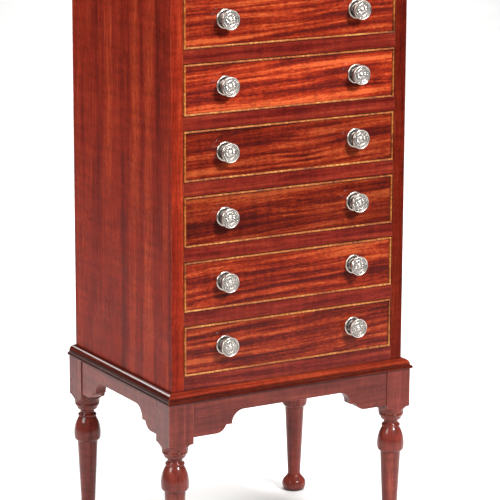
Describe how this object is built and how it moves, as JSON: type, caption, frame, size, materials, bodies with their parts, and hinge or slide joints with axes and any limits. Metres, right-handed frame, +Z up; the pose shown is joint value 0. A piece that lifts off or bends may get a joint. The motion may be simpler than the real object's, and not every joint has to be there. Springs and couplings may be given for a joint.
{
  "type": "tall chest of drawers on stand",
  "caption": "Tall narrow chest of equal drawers with cock beading and round metal knobs, on a low stand with fretted aprons and turned bulb legs.",
  "frame": {"origin": "on the floor, under the middle of the chest's width and of its depth with the knobs", "axes": "+Z up, the drawers face -Y and open towards -Y, +X to the right of someone facing the drawers"},
  "size_m": [0.4806, 0.3799, 1.1317],
  "materials": {
    "case_mahogany": "french polished",
    "drawer_mahogany": "french polished",
    "stand_mahogany": "french polished",
    "bead_boxwood": "polished",
    "drawer_oak": "raw, aged",
    "secondary_pine": "raw, aged",
    "silvered_metal": "silvered, chased, worn",
    "steel": "dull"
  },
  "bodies": {
    "chest": {"side_left": "case_mahogany", "side_right": "case_mahogany", "top_board": "case_mahogany", "bottom_board": "secondary_pine", "back_boards": "secondary_pine", "rail_top": "case_mahogany", "rail_bottom": "case_mahogany", "drawer_rails": "case_mahogany", "drawer_runners": "secondary_pine", "top_kickers": "secondary_pine", "drawer_stops": "secondary_pine", "frame_front": "stand_mahogany", "frame_left": "stand_mahogany", "frame_right": "stand_mahogany", "frame_back": "stand_mahogany", "apron_front": "stand_mahogany", "apron_back": "stand_mahogany", "apron_left": "stand_mahogany", "apron_right": "stand_mahogany", "leg_front_left": "stand_mahogany", "leg_front_right": "stand_mahogany", "leg_back_left": "stand_mahogany", "leg_back_right": "stand_mahogany", "glue_blocks": "secondary_pine", "screws": "steel"},
    "drawer_1": {"drawer_1_front": "drawer_mahogany", "drawer_1_cock_beads": "bead_boxwood", "drawer_1_linings": "drawer_oak", "drawer_1_bottom": "drawer_oak", "drawer_1_knobs": "silvered_metal"},
    "drawer_2": {"drawer_2_front": "drawer_mahogany", "drawer_2_cock_beads": "bead_boxwood", "drawer_2_linings": "drawer_oak", "drawer_2_bottom": "drawer_oak", "drawer_2_knobs": "silvered_metal"},
    "drawer_3": {"drawer_3_front": "drawer_mahogany", "drawer_3_cock_beads": "bead_boxwood", "drawer_3_linings": "drawer_oak", "drawer_3_bottom": "drawer_oak", "drawer_3_knobs": "silvered_metal"},
    "drawer_4": {"drawer_4_front": "drawer_mahogany", "drawer_4_cock_beads": "bead_boxwood", "drawer_4_linings": "drawer_oak", "drawer_4_bottom": "drawer_oak", "drawer_4_knobs": "silvered_metal"},
    "drawer_5": {"drawer_5_front": "drawer_mahogany", "drawer_5_cock_beads": "bead_boxwood", "drawer_5_linings": "drawer_oak", "drawer_5_bottom": "drawer_oak", "drawer_5_knobs": "silvered_metal"},
    "drawer_6": {"drawer_6_front": "drawer_mahogany", "drawer_6_cock_beads": "bead_boxwood", "drawer_6_linings": "drawer_oak", "drawer_6_bottom": "drawer_oak", "drawer_6_knobs": "silvered_metal"},
    "drawer_7": {"drawer_7_front": "drawer_mahogany", "drawer_7_cock_beads": "bead_boxwood", "drawer_7_linings": "drawer_oak", "drawer_7_bottom": "drawer_oak", "drawer_7_knobs": "silvered_metal"}
  },
  "joints": [
    {"name": "drawer_1_slide", "type": "slide", "parent": "chest", "child": "drawer_1", "axis": [0, -1, 0], "range_m": [0, 0.24]},
    {"name": "drawer_2_slide", "type": "slide", "parent": "chest", "child": "drawer_2", "axis": [0, -1, 0], "range_m": [0, 0.24]},
    {"name": "drawer_3_slide", "type": "slide", "parent": "chest", "child": "drawer_3", "axis": [0, -1, 0], "range_m": [0, 0.24]},
    {"name": "drawer_4_slide", "type": "slide", "parent": "chest", "child": "drawer_4", "axis": [0, -1, 0], "range_m": [0, 0.24]},
    {"name": "drawer_5_slide", "type": "slide", "parent": "chest", "child": "drawer_5", "axis": [0, -1, 0], "range_m": [0, 0.24]},
    {"name": "drawer_6_slide", "type": "slide", "parent": "chest", "child": "drawer_6", "axis": [0, -1, 0], "range_m": [0, 0.24]},
    {"name": "drawer_7_slide", "type": "slide", "parent": "chest", "child": "drawer_7", "axis": [0, -1, 0], "range_m": [0, 0.24]}
  ]
}
